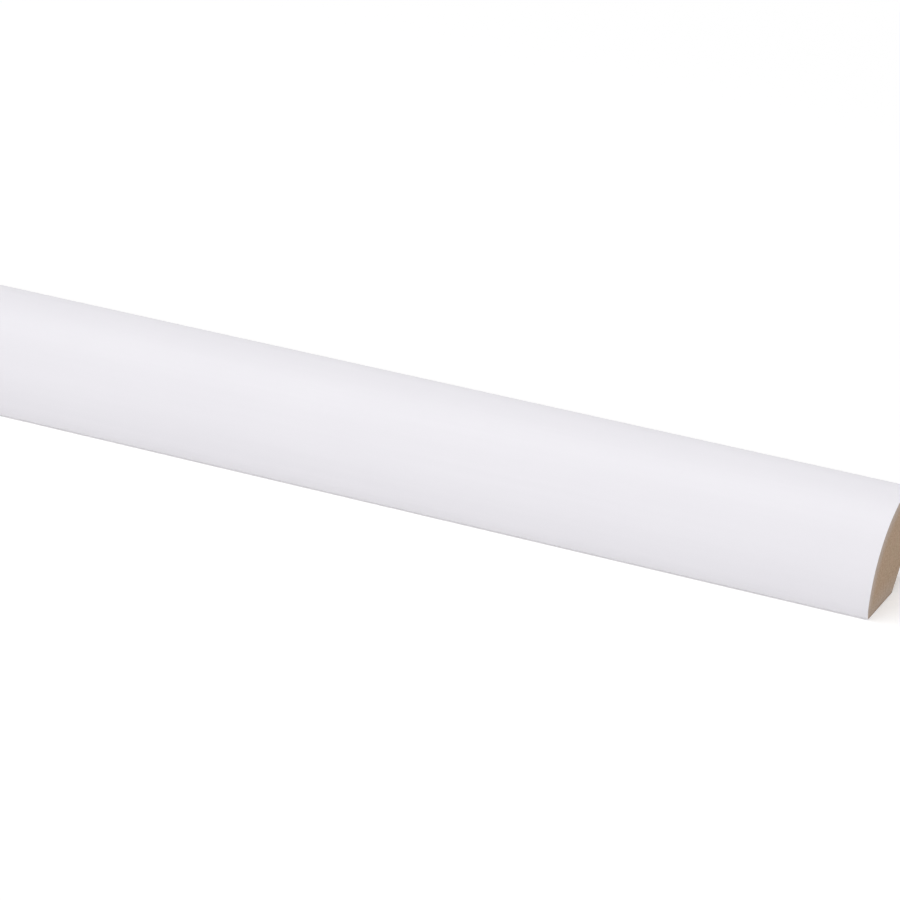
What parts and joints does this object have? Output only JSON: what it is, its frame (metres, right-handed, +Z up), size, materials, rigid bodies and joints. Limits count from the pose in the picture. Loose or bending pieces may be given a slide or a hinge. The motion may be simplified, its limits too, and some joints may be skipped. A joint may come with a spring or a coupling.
{
  "type": "quarter round moulding",
  "caption": "Straight length of white-coated fibreboard quarter round moulding that covers the joint between wall and floor; curved face, square-cut ends, bevelled back corner.",
  "frame": {"origin": "on the plane of the floor face, at the middle of the length and of the width", "axes": "+X along the length, +Y from the room to the wall, square to the wall face, +Z up from the floor"},
  "size_m": [2.4, 0.018, 0.018],
  "materials": {
    "white_coated_fibreboard": "satin"
  },
  "bodies": {
    "root": {"quarter_round": "white_coated_fibreboard"}
  },
  "joints": []
}
